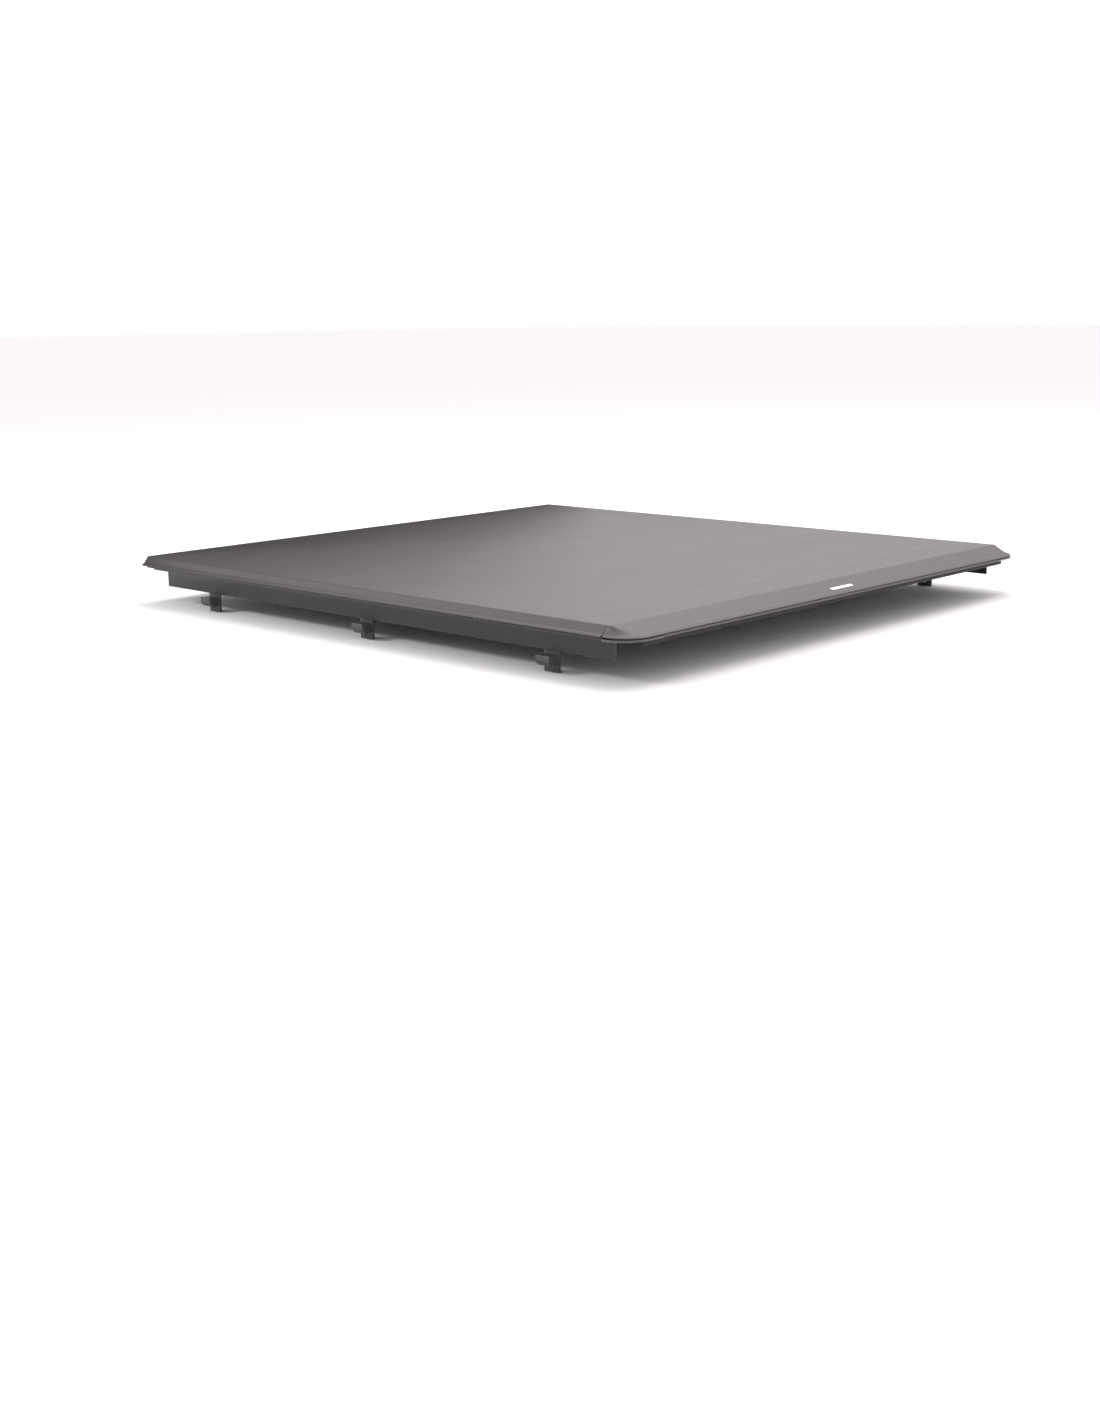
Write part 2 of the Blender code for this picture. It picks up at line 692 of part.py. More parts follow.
def bracket_mesh():
    """A plate that hooks over the rail's foot, with a slot for the jaw's bolt."""
    inner, outer = BRACKET_X
    hook_low = BED_Z + RAIL_FOOT_RISE + WALL + GAP
    outline = [
        (inner, 0.0), (outer, 0.0), (outer, hook_low), (HOOK_REACH_X, hook_low),
        (HOOK_REACH_X, hook_low + 0.005), (inner, hook_low + 0.005),
    ]
    template = extrusion_along_y("bracket", [outline], -BRACKET_HALF_WIDTH,
                                 BRACKET_HALF_WIDTH, CLAMP_METAL)
    slot_half = BOLT_RADIUS + 0.0008
    slot = block_cutter("bracket_slot",
                        (inner - 0.002, -slot_half, BED_Z + BOLT_RISE - JAW_TRAVEL - slot_half),
                        (outer + 0.002, slot_half, BED_Z + BOLT_RISE + slot_half))
    add_bevel(slot, BOLT_RADIUS - 0.0006, 3)
    cut(template, slot)
    add_bevel(template, 0.0006)
    return placed_mesh(template, slot)


def placed_mesh(template, *cutters):
    """Bake a template with its placing, and remove it and its cutters."""
    bpy.context.view_layer.update()
    place = template.matrix_world.copy()
    mesh = evaluated_mesh(template)
    mesh.transform(place)
    for cutter in cutters:
        bpy.data.objects.remove(cutter, do_unlink=True)
    return mesh


def jaw_mesh():
    """The block that pulls up under the bed's inner flange, with a hole for the bolt."""
    inner = BRACKET_X[1] + GAP
    top = BED_Z + JAW_RISE
    outline = [
        (inner, top - 0.020), (0.7290, top - 0.020), (0.7370, top - 0.011),
        (0.7370, top + 0.0020), (0.7340, top + 0.0020), (0.7335, top), (inner, top),
    ]
    template = extrusion_along_y("jaw", [outline], -0.018, 0.018, CLAMP_METAL)
    hole = cylinder_cutter("jaw_hole", inner - 0.001, 0.7320, BOLT_RADIUS + GAP)
    cut(template, hole)
    add_bevel(template, 0.0006)
    return placed_mesh(template, hole)


def cylinder_cutter(name, x_start, x_end, radius):
    """A round cutter along X at the height of a clamp's bolt."""
    bpy.ops.mesh.primitive_cylinder_add(vertices=20, radius=radius, depth=x_end - x_start)
    cutter = bpy.context.active_object
    cutter.name = name
    for collection in list(cutter.users_collection):
        collection.objects.unlink(cutter)
    CUTTERS.objects.link(cutter)
    cutter.data.transform(Matrix.Rotation(pi / 2, 4, "Y"))
    cutter.data.transform(Matrix.Translation(((x_start + x_end) / 2, 0.0, BED_Z + BOLT_RISE)))
    cutter.hide_render = True
    cutter.display_type = "WIRE"
    return cutter


def bolt_mesh():
    """A flanged cap screw, turned about X, with a six-sided socket in its head."""
    tip, under_head = 0.7312, BRACKET_X[0] - GAP
    flange, head = under_head - 0.0015, under_head - 0.0095
    profile = [
        (0.0, tip), (BOLT_RADIUS - 0.0008, tip), (BOLT_RADIUS, tip - 0.0008),
        (BOLT_RADIUS, under_head), (0.0090, under_head), (0.0090, flange),
        (0.0065, flange), (0.0065, head + 0.0008), (0.0057, head), (0.0, head),
    ]
    work = bmesh.new()
    verts = [work.verts.new((radius, 0.0, along)) for radius, along in profile]
    for a, b in zip(verts, verts[1:]):
        work.edges.new((a, b))
    mesh = bpy.data.meshes.new("bolt")
    work.to_mesh(mesh)
    work.free()
    template = add_object("bolt", mesh, STEEL)
    screw = template.modifiers.new("turned", "SCREW")
    screw.axis = "Z"
    screw.steps = 20
    screw.render_steps = 20
    screw.use_merge_vertices = True
    screw.merge_threshold = 0.00001
    bpy.ops.mesh.primitive_cylinder_add(vertices=6, radius=0.0036, depth=0.010)
    socket = bpy.context.active_object
    socket.data.transform(Matrix.Translation((0.0, 0.0, head)))
    cut(template, socket)
    turned = placed_mesh(template, socket)
    turned.transform(Matrix.Translation((0.0, 0.0, BED_Z + BOLT_RISE))
                     @ Matrix.Rotation(pi / 2, 4, "Y"))
    turned.shade_smooth()
    turned.set_sharp_from_angle(angle=radians(35.0))
    return turned


def clamps():
    """Six clamps, numbered from the cab: bracket, jaw and bolt."""
    kinds = (
        ("clamp_bracket", bracket_mesh(), CLAMP_METAL),
        ("clamp_jaw", jaw_mesh(), CLAMP_METAL),
        ("clamp_bolt", bolt_mesh(), STEEL),
    )
    for word, side in SIDES:
        for index, y in enumerate(CLAMP_YS, start=1):
            for kind, mesh, material in kinds:
                clamp_part = add_object(f"{kind}_{word}_{index}", mesh, material)
                clamp_part.location = (0.0, y, 0.0)
                clamp_part.rotation_euler = (0.0, 0.0, 0.0 if side > 0 else pi)


# Storage straps ---------------------------------------------------------------------

STRAP_WIDTH = 0.025
STRAP_THICKNESS = 0.0016
STRAP_Y = (0.7305, 0.7460)
STRAP_TOP_RISE = 0.0200
STRAP_FOOT_RISE = -0.0600


def strap_loop():
    """Side view of a stowed strap: a flat loop with round ends."""
    middle = (STRAP_Y[0] + STRAP_Y[1]) / 2
    radius = (STRAP_Y[1] - STRAP_Y[0]) / 2
    outline = []
    for centre, first in ((STRAP_TOP_RISE - radius, 0.0), (STRAP_FOOT_RISE + radius, pi)):
        for step in range(7):
            turn = first + step / 6 * pi
            outline.append((middle + radius * cos(turn), BED_Z + centre + radius * sin(turn)))
    return outline


def storage_straps():
    """Webbing loops behind the header that hold the rolled cover, with their buckles."""
    loop = strap_loop()
    for word, side in SIDES:
        centre = side * STRAP_X
        half = STRAP_WIDTH / 2
        extrusion_along_x(f"storage_strap_{word}",
                          [loop, offset_path(loop, STRAP_THICKNESS, closed=True)],
                          centre - half, centre + half, WEBBING)
        back, front = STRAP_Y[0] - GAP - 0.0090, STRAP_Y[0] - GAP
        low, high = BED_Z - 0.046, BED_Z - 0.010
        outline = [
            (back, low + 0.003), (back + 0.003, low), (front, low),
            (front, high), (back + 0.003, high), (back, high - 0.003),
        ]
        extrusion_along_x(f"strap_buckle_{word}", [outline],
                          centre - 0.017, centre + 0.017, MOULDED, bevel=0.0012)


# Assembly ---------------------------------------------------------------------------

def build():
    """Make every sub-part."""
    cover_front()
    for number in range(1, SECTION_COUNT + 1):
        cover_section(number)
    cover_rear()
    side_rails()
    rail_seals()
    hook_strips()
    header_bar()
    header_corners()
    bulkhead_seal()
    cross_bows()
    rear_bar()
    latch_plungers()
    rear_seal()
    rear_piping()
    blank_tag()
    corner_caps()
    clamps()
    storage_straps()


build()
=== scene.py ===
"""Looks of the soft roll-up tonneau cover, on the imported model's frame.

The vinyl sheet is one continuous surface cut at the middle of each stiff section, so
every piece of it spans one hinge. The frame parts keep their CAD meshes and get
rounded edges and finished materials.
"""

import json
from math import cos, pi, radians, sin

import bpy
import numpy as np
from mathutils import Matrix, Vector


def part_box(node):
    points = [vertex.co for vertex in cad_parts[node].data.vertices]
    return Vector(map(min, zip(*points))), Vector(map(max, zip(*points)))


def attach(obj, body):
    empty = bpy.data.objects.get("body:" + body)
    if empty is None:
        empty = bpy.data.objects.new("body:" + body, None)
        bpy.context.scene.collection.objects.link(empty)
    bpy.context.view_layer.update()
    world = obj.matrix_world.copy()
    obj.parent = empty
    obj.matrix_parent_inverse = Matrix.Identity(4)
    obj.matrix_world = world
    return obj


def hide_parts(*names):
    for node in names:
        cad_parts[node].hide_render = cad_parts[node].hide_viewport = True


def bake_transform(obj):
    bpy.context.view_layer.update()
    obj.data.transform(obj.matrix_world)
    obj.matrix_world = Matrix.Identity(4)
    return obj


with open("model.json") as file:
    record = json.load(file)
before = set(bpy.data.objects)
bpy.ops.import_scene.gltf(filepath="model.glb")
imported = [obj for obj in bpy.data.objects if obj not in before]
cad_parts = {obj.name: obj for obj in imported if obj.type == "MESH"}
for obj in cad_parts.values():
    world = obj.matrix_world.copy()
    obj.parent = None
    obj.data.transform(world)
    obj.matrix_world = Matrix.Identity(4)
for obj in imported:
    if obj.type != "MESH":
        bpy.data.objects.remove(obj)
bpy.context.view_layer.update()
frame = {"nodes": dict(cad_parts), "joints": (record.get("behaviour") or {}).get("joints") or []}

# Places, from the frame where it holds them and else as in the CAD ------------------

HINGES = [joint["pos_m"][1] for joint in frame["joints"]
          if joint["name"].startswith("cover_roll")]
TOP_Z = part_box("cover_section_07")[1].z
LIP_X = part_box("cover_section_07")[1].x
LIP_Z = 0.0990
CREASE_X = LIP_X - 0.0205
KNEE_X = LIP_X - 0.0080
KNEE_Z = 0.1030
REAR_CREASE = 0.7380
REAR_LIP = 0.7975
REAR_LIP_Z = 0.0972
FRONT_CREASE = 0.7975
FRONT_LIP = 0.8000
BOW_YS = [sum((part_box(f"cross_bow_{n}")[0].y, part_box(f"cross_bow_{n}")[1].y)) / 2
          for n in (1, 2, 3)]

SHEET = 0.0016
HEM = 0.0024
INNER_X = 0.7005
COLUMNS = 96
ARC_STEPS = 24
CREASE_RING = 9
BEND_ZONE = 0.012
REAR_ZONE = 0.0028

# Places in the sheet's list of materials.
OUTER, BACKING, TAPE, SEAM = range(4)


# Materials --------------------------------------------------------------------------

class Finish:
    """A node material, with short ways to add and join nodes."""

    def __init__(self, name, place="object"):
        self.material = bpy.data.materials.new(name)
        self.material.use_nodes = True
        self.nodes = self.material.node_tree.nodes
        self.links = self.material.node_tree.links
        self.shader = self.nodes["Principled BSDF"]
        if place == "rest":
            source = self.nodes.new("ShaderNodeAttribute")
            source.attribute_name = "rest_place"
            self.place = source.outputs["Vector"]
        else:
            self.place = self.nodes.new("ShaderNodeTexCoord").outputs["Object"]

    def put(self, socket, value):
        """Set an input, or link a socket into it."""
        if isinstance(value, bpy.types.NodeSocket):
            self.links.new(value, socket)
        else:
            socket.default_value = value

    def stretched(self, scale):
        """The place vector, scaled by axis."""
        node = self.nodes.new("ShaderNodeMapping")
        self.put(node.inputs["Vector"], self.place)
        node.inputs["Scale"].default_value = scale
        return node.outputs["Vector"]

    def noise(self, scale, detail=2.0, roughness=0.5, where=None):
        """Grey noise, from 0 to 1."""
        node = self.nodes.new("ShaderNodeTexNoise")
        self.put(node.inputs["Vector"], where or self.place)
        node.inputs["Scale"].default_value = scale
        node.inputs["Detail"].default_value = detail
        node.inputs["Roughness"].default_value = roughness
        return node.outputs["Fac"]

    def cells(self, scale, feature="F1"):
        """Distance in a pattern of cells."""
        node = self.nodes.new("ShaderNodeTexVoronoi")
        node.feature = feature
        self.put(node.inputs["Vector"], self.place)
        node.inputs["Scale"].default_value = scale
        return node.outputs["Distance"]

    def wave(self, scale, direction):
        """Even bands along an axis."""
        node = self.nodes.new("ShaderNodeTexWave")
        node.bands_direction = direction
        self.put(node.inputs["Vector"], self.place)
        node.inputs["Scale"].default_value = scale
        return node.outputs["Fac"]

    def math(self, operation, a, b):
        """One arithmetic step."""
        node = self.nodes.new("ShaderNodeMath")
        node.operation = operation
        self.put(node.inputs[0], a)
        self.put(node.inputs[1], b)
        return node.outputs[0]

    def ranged(self, value, low, high, out_low, out_high):
        """Map a value from one range to another, clamped."""
        node = self.nodes.new("ShaderNodeMapRange")
        self.put(node.inputs["Value"], value)
        for name, number in (("From Min", low), ("From Max", high),
                             ("To Min", out_low), ("To Max", out_high)):
            self.put(node.inputs[name], number)
        return node.outputs["Result"]

    def mixed(self, share, first, second):
        """Mix two colours."""
        node = self.nodes.new("ShaderNodeMix")
        node.data_type = "RGBA"
        self.put(node.inputs["Factor"], share)
        self.put(node.inputs["A"], first)
        self.put(node.inputs["B"], second)
        return node.outputs["Result"]

    def bump(self, height, distance, strength, under=None):
        """Tilt the normal by a height in metres times distance."""
        node = self.nodes.new("ShaderNodeBump")
        node.inputs["Distance"].default_value = distance
        node.inputs["Strength"].default_value = strength
        self.put(node.inputs["Height"], height)
        if under is not None:
            self.put(node.inputs["Normal"], under)
        return node.outputs["Normal"]

    def edge_mask(self, radius):
        """About 1 on convex and concave edges, 0 on flats."""
        node = self.nodes.new("ShaderNodeBevel")
        node.samples = 4
        node.inputs["Radius"].default_value = radius
        geometry = self.nodes.new("ShaderNodeNewGeometry")
        product = self.nodes.new("ShaderNodeVectorMath")
        product.operation = "DOT_PRODUCT"
        self.put(product.inputs[0], node.outputs["Normal"])
        self.put(product.inputs[1], geometry.outputs["Normal"])
        return self.ranged(product.outputs["Value"], 0.995, 0.90, 0.0, 1.0)

    def finish(self, colour, rough, metal=0.0, normal=None, **more):
        """Link the results into the shader."""
        self.put(self.shader.inputs["Base Color"], colour)
        self.put(self.shader.inputs["Roughness"], rough)
        self.put(self.shader.inputs["Metallic"], metal)
        if normal is not None:
            self.put(self.shader.inputs["Normal"], normal)
        for name, value in more.items():
            socket = name.replace("_", " ").title().replace("Ior", "IOR")
            self.put(self.shader.inputs[socket], value)
        return self.material


def grey(value, warm=0.0):
    """A near-neutral colour, slightly warm or cool."""
    return (value * (1 + warm), value, value * (1 - warm * 0.3), 1.0)


def vinyl(name, low, high):
    """Grained black vinyl with soft blotches, dust and a faint print of its backing."""
    f = Finish(name, "rest")
    blotch = f.noise(7.0, 3.0, 0.55)
    cloud = f.noise(28.0, 3.0, 0.6)
    tone = f.ranged(f.math("ADD", f.math("MULTIPLY", blotch, 0.65),
                           f.math("MULTIPLY", cloud, 0.35)), 0.36, 0.64, 0.0, 1.0)
    colour = f.mixed(tone, low, high)
    speck = f.ranged(f.noise(900.0, 2.0, 0.6), 0.62, 0.80, 0.0, 0.25)
    colour = f.mixed(speck, colour, grey(0.16))
    grain = f.cells(950.0, "SMOOTH_F1")
    fine = f.noise(2400.0, 2.0, 0.6)
    weave = f.math("MULTIPLY", f.wave(260.0, "X"), f.wave(260.0, "Y"))
    relief = f.math("ADD", grain, f.math("MULTIPLY", fine, 0.35))
    relief = f.math("ADD", relief, f.math("MULTIPLY", weave, 0.25))
    soft = f.bump(f.noise(45.0, 2.0, 0.5), 0.0006, 0.05)
    normal = f.bump(relief, 0.00010, 0.55, soft)
    rough = f.ranged(cloud, 0.3, 0.7, 0.485, 0.515)
    return f.finish(colour, rough, 0.0, normal, sheen_weight=0.06, sheen_roughness=0.5,
                    specular_tint=(1.0, 0.94, 0.985, 1.0))


def woven(name, low, high, pitch, depth, fuzz=0.1, axes="XY"):
    """Plain weave: two sets of threads at a pitch in metres."""
    f = Finish(name, "rest")
    across = f.wave(pi / 10 / pitch, axes[0])
    along = f.wave(pi / 10 / pitch, axes[1])
    height = f.math("MAXIMUM", across, along)
    tone = f.math("MULTIPLY", height, f.ranged(f.noise(60.0, 3.0), 0.3, 0.7, 0.75, 1.0))
    colour = f.mixed(tone, low, high)
    normal = f.bump(height, depth, 0.8)
    return f.finish(colour, 0.86, 0.0, normal, sheen_weight=fuzz, sheen_roughness=0.6)


def fuzzy(name, low, high):
    """Loop or hook tape."""
    f = Finish(name, "rest")
    loops = f.cells(1500.0)
    colour = f.mixed(f.ranged(loops, 0.1, 0.7, 0.0, 1.0), high, low)
    normal = f.bump(loops, 0.0004, 0.9)
    return f.finish(colour, 0.95, 0.0, normal, sheen_weight=0.35, sheen_roughness=0.7)


def thread(name, colour):
    """Twisted sewing thread."""
    f = Finish(name, "rest")
    twist = f.wave(900.0, "DIAGONAL")
    tint = f.mixed(f.noise(300.0), colour, grey(0.10))
    return f.finish(tint, 0.62, 0.0, f.bump(twist, 0.0002, 0.6), sheen_weight=0.15)


def extruded(name, colour, rough, metal, scale, worn=None):
    """Anodised or plain aluminium with fine drawing lines along one axis."""
    f = Finish(name)
    lines = f.noise(1.0, 4.0, 0.65, f.stretched(scale))
    smear = f.noise(9.0, 3.0, 0.55)
    shade = f.mixed(f.ranged(smear, 0.3, 0.7, 0.0, 1.0), colour,
                    tuple(c * 1.22 for c in colour[:3]) + (1.0,))
    if worn is not None:
        mask = f.math("MULTIPLY", f.edge_mask(0.0008),
                      f.ranged(f.noise(130.0, 3.0), 0.48, 0.66, 0.0, 0.8))
        shade = f.mixed(mask, shade, worn)
    finish = f.math("ADD", f.ranged(lines, 0.3, 0.7, rough - 0.05, rough + 0.05),
                    f.ranged(smear, 0.3, 0.7, -0.03, 0.03))
    normal = f.bump(lines, 0.00006, 0.5)
    return f.finish(shade, finish, metal, normal)


def moulded(name):
    """Glossy black moulding with a very fine spark texture and soft scuffs."""
    f = Finish(name)
    scuff = f.ranged(f.noise(70.0, 4.0, 0.7), 0.50, 0.72, 0.0, 1.0)
    colour = f.mixed(scuff, grey(0.024), grey(0.040, 0.02))
    rough = f.ranged(scuff, 0.0, 1.0, 0.20, 0.34)
    normal = f.bump(f.noise(1500.0, 2.0), 0.00004, 0.4)
    return f.finish(colour, rough, 0.0, normal, specular_ior_level=0.62,
                    coat_weight=0.9, coat_roughness=0.10)


def cast(name):
    """Powder-coated casting, worn bright on its edges."""
    f = Finish(name)
    skin = f.noise(850.0, 3.0, 0.6)
    lumps = f.noise(90.0, 2.0)
    mask = f.math("MULTIPLY", f.edge_mask(0.0010),
                  f.ranged(f.noise(160.0, 3.0), 0.42, 0.62, 0.0, 1.0))
    colour = f.mixed(mask, f.mixed(lumps, grey(0.035), grey(0.055)), grey(0.42))
    rough = f.ranged(skin, 0.3, 0.7, 0.42, 0.60)
    normal = f.bump(skin, 0.00018, 0.6, f.bump(lumps, 0.0008, 0.15))
    return f.finish(colour, rough, f.math("MULTIPLY", mask, 0.9), normal)


def zinc(name):
    """Zinc plate with a faint passivation tint and wear."""
    f = Finish(name)
    cloud = f.noise(110.0, 3.0, 0.6)
    colour = f.mixed(f.ranged(cloud, 0.35, 0.65, 0.0, 1.0),
                     (0.56, 0.57, 0.60, 1.0), (0.66, 0.63, 0.52, 1.0))
    scratch = f.noise(1.0, 3.0, 0.7, f.stretched((900.0, 120.0, 120.0)))
    rough = f.ranged(scratch, 0.3, 0.7, 0.26, 0.42)
    return f.finish(colour, rough, 1.0, f.bump(scratch, 0.00005, 0.5))


def rubber(name):
    """Matt foam rubber with pores and a dusty bloom."""
    f = Finish(name)
    pores = f.cells(1100.0)
    dust = f.ranged(f.noise(60.0, 3.0, 0.6), 0.45, 0.75, 0.0, 0.5)
    colour = f.mixed(dust, grey(0.016), grey(0.050, 0.04))
    rough = f.ranged(dust, 0.0, 0.5, 0.72, 0.88)
    return f.finish(colour, rough, 0.0, f.bump(pores, 0.00025, 0.6))


VINYL = vinyl("vinyl_sheet", (0.036, 0.033, 0.0355, 1.0), (0.043, 0.0395, 0.0425, 1.0))
SCRIM = woven("scrim_backing", grey(0.020), grey(0.060), 0.0011, 0.0003)
LOOP = fuzzy("loop_tape", grey(0.018), grey(0.050))
THREAD = thread("hem_thread", grey(0.030))
SLOT_FINISHES = {
    "black_aluminium": extruded("black_aluminium", grey(0.040, 0.02), 0.40, 0.75,
                                (700.0, 2.0, 700.0), grey(0.45)),
    "mill_aluminium": extruded("mill_aluminium", (0.60, 0.61, 0.62, 1.0), 0.34, 1.0,
                               (2.0, 800.0, 800.0)),
    "moulded_plastic": moulded("moulded_plastic"),
    "clamp_metal": cast("clamp_metal"),
    "zinc_steel": zinc("zinc_steel"),
    "seal_rubber": rubber("seal_rubber"),
    "hook_tape": fuzzy("hook_tape", grey(0.014), grey(0.036)),
    "strap_webbing": woven("strap_webbing", grey(0.014), grey(0.045), 0.0016, 0.0005, 0.2, "XZ"),
    "hem_piping": vinyl("hem_piping", (0.060, 0.053, 0.050, 1.0), (0.085, 0.075, 0.070, 1.0)),
    "woven_tag": woven("woven_tag", grey(0.62, 0.01), grey(0.84, 0.01), 0.0005, 0.0002, 0.1),
}


# Sheet surfaces ---------------------------------------------------------------------

def line(a, b, shares):
    """Points on a straight line."""
    return [tuple(Vector(a).lerp(Vector(b), s)) for s in shares]


def bend(a, corner, b, steps):
    """Points of a rounded corner, after a and up to b."""
    a, corner, b = Vector(a), Vector(corner), Vector(b)
    made = []
    for i in range(1, steps + 1):
        t = i / steps
        made.append(tuple(a * (1 - t) ** 2 + corner * 2 * t * (1 - t) + b * t * t))
    return made


def edge_profile(start, crease, knee, lip, crease_round, knee_round):
    """Outer line from the flat top over the crease and the knee to the lip."""
    start, crease, knee, lip = map(Vector, (start, crease, knee, lip))
    down = (knee - crease).normalized()
    flare = (lip - knee).normalized()
    crease_in = crease + (start - crease).normalized() * crease_round[0]
    crease_out = crease + down * crease_round[1]
    knee_in = knee - down * knee_round
    knee_out = knee + flare * knee_round
    points = [tuple(start)]
    points += line(start, crease_in, (0.34, 0.67, 1.0))
    points += bend(crease_in, crease, crease_out, 6)
    points += line(crease_out, knee_in, [i / 7 for i in range(1, 8)])
    points += bend(knee_in, knee, knee_out, 5)
    points += line(knee_out, lip, (0.22, 0.32, 0.66, 1.0))
    outline = np.array(points)
    along = np.gradient(outline, axis=0)
    normal = np.stack([-along[:, 1], along[:, 0]], axis=1)
    normal /= np.linalg.norm(normal, axis=1)[:, None]
    outline[-3:] += normal[-3:] * 0.00035
    return outline


SIDE = edge_profile((INNER_X, TOP_Z), (CREASE_X, TOP_Z), (KNEE_X, KNEE_Z), (LIP_X, LIP_Z),
                    (0.0035, 0.0030), 0.0028)
REAR_SIDE = edge_profile((INNER_X, TOP_Z), (CREASE_X, TOP_Z), (KNEE_X - 0.001, KNEE_Z),
                         (LIP_X - 0.0025, LIP_Z), (0.0035, 0.0030), 0.0028)
REAR_KNEE = REAR_CREASE + (TOP_Z - KNEE_Z) / (TOP_Z - REAR_LIP_Z) * (REAR_LIP - REAR_CREASE)
REAR_END = edge_profile((0.7369, TOP_Z), (REAR_CREASE + 0.0006, TOP_Z), (REAR_KNEE, KNEE_Z),
                        (REAR_LIP, REAR_LIP_Z), (0.0010, 0.0022), 0.0030)
FRONT_END = edge_profile((0.7700, TOP_Z), (FRONT_CREASE, TOP_Z), (0.7990, KNEE_Z),
                         (FRONT_LIP, REAR_LIP_Z), (0.0030, 0.0030), 0.0020)
RINGS = len(SIDE) - 1


def smooth(t):
    """Ease from 0 to 1."""
    t = np.clip(t, 0.0, 1.0)
    return t * t * (3 - 2 * t)


def lift(x, y):
    """How far the taut top stands above its flat plane: sag, bow ridges and soft waves."""
    supports = [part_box("header_bar")[0].y] + BOW_YS + [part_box("rear_bar")[1].y]
    height = np.zeros_like(x)
    for front, back in zip(supports, supports[1:]):
        share = (front - y) / (front - back)
        inside = (share > 0) & (share < 1)
        depth = 0.0016 * ((front - back) / 0.57) ** 2
        height -= np.where(inside, depth * np.sin(np.pi * np.clip(share, 0, 1)) ** 1.5, 0.0)
    for place, rise in zip(BOW_YS, (0.00055, 0.00025, 0.00045)):
        height += rise * np.exp(-((y - place) / 0.020) ** 2)
    waves = (np.sin(x * 31.0 + np.sin(y * 11.0) * 1.7) * np.sin(y * 37.0 + x * 6.0 + 1.1)
             + 0.7 * np.sin(x * 53.0 - y * 17.0 + 0.6) * np.sin(y * 21.0 + 2.3)
             + 0.5 * np.sin(x * 17.0 + y * 61.0))
    height += 0.00013 * waves
    window = smooth((0.700 - np.abs(x)) / 0.075)
    window = window * smooth((y + 0.728) / 0.03) * smooth((0.765 - y) / 0.04)
    return height * window


def top_points(x, y):
    """Points of the top face."""
    x, y = np.broadcast_arrays(np.asarray(x, float), np.asarray(y, float))
    return np.stack([x, y, TOP_Z + lift(x, y)], axis=-1)


ACROSS = np.linspace(-1.0, 1.0, COLUMNS + 1)


def run_surface(ys, notch_y=None):
    """Straight length of the sheet with both flaps, as (points, faces, inward).

    inward gives each hem vertex its neighbour inside the hem.
    """
    count = COLUMNS + 1 + 2 * RINGS
    rows = []
    for y in ys:
        middle = top_points(ACROSS * INNER_X, y)
        right = np.stack([SIDE[1:, 0], np.full(RINGS, y), SIDE[1:, 1]], axis=1)
        left = right[::-1] * np.array([-1.0, 1.0, 1.0])
        rows.append(np.concatenate([left, middle, right]))
    points = np.concatenate(rows)
    flap = RINGS - CREASE_RING
    faces = []
    for j in range(len(ys) - 1):
        for i in range(count - 1):
            in_flap = i < flap or i + 1 >= count - flap
            if notch_y is not None and in_flap and ys[j + 1] < notch_y - 1e-6:
                continue
            a = j * count + i
            faces.append((a, a + 1, a + 1 + count, a + count))
    inward = {}
    for j in range(len(ys)):
        inward[j * count] = j * count + 1
        inward[j * count + count - 1] = j * count + count - 2
    return points, faces, inward


def panel_surface(y_open, toward, side, end, radii, rows, shape=None, flap_open=None):
    """End panel: a flat top with rings down three sides, and round or sharp corners."""
    if flap_open is None:
        flap_open = np.full(RINGS + 1, y_open)
    grid_y = y_open + (toward * end[0, 0] - y_open) * np.arange(rows + 1) / rows
    grid = top_points(ACROSS[None, :] * INNER_X, grid_y[:, None])
    points = [grid.reshape(-1, 3)]
    width = COLUMNS + 1
    ring_size = 2 * (rows + ARC_STEPS) + width
    ring_ids = [[j * width for j in range(rows + 1)] + [rows * width] * ARC_STEPS
                + [rows * width + c for c in range(1, COLUMNS)]
                + [rows * width + COLUMNS] * (ARC_STEPS + 1)
                + [j * width + COLUMNS for j in range(rows - 1, -1, -1)]]
    total = len(points[0])
    for k in range(1, RINGS + 1):
        x, z_side = side[k]
        far, z_end = end[k]
        radius = radii[k]
        y_turn = toward * (far - radius)
        half = [(x, flap_open[k] + (y_turn - flap_open[k]) * j / rows, z_side)
                for j in range(rows + 1)]
        for step in range(1, ARC_STEPS + 1):
            turn = step / ARC_STEPS * pi / 2
            half.append((x - radius + radius * cos(turn),
                         toward * (far - radius + radius * sin(turn)),
                         z_side + (z_end - z_side) * float(smooth(step / ARC_STEPS))))
        middle = [((x - radius) * u, toward * far, z_end) for u in ACROSS[1:-1]]
        left = [(-px, py, pz) for px, py, pz in half]
        ring = np.array(left + middle + half[::-1])
        if shape is not None:
            ring += shape(ring, k)
        points.append(ring)
        ring_ids.append(list(range(total, total + ring_size)))
        total += ring_size
    faces = []
    for j in range(rows):
        for c in range(COLUMNS):
            a = j * width + c
            faces.append((a, a + 1, a + 1 + width, a + width))
    for upper, lower in zip(ring_ids, ring_ids[1:]):
        for i in range(ring_size - 1):
            corners = [upper[i], upper[i + 1], lower[i + 1], lower[i]]
            corners = [v for n, v in enumerate(corners) if v != corners[n - 1]]
            if len(corners) > 2:
                faces.append(tuple(corners))
    inward = dict(zip(ring_ids[-1], ring_ids[-2]))
    return np.concatenate(points), faces, inward, ring_ids


def vertex_normals(points, faces):
    """Area-weighted normals."""
    normals = np.zeros_like(points)
    for face in faces:
        p = points[list(face)]
        cross = np.zeros(3)
        for i in range(1, len(face) - 1):
            cross += np.cross(p[i] - p[0], p[i + 1] - p[0])
        for v in face:
            normals[v] += cross
    return normals / np.linalg.norm(normals, axis=1)[:, None]


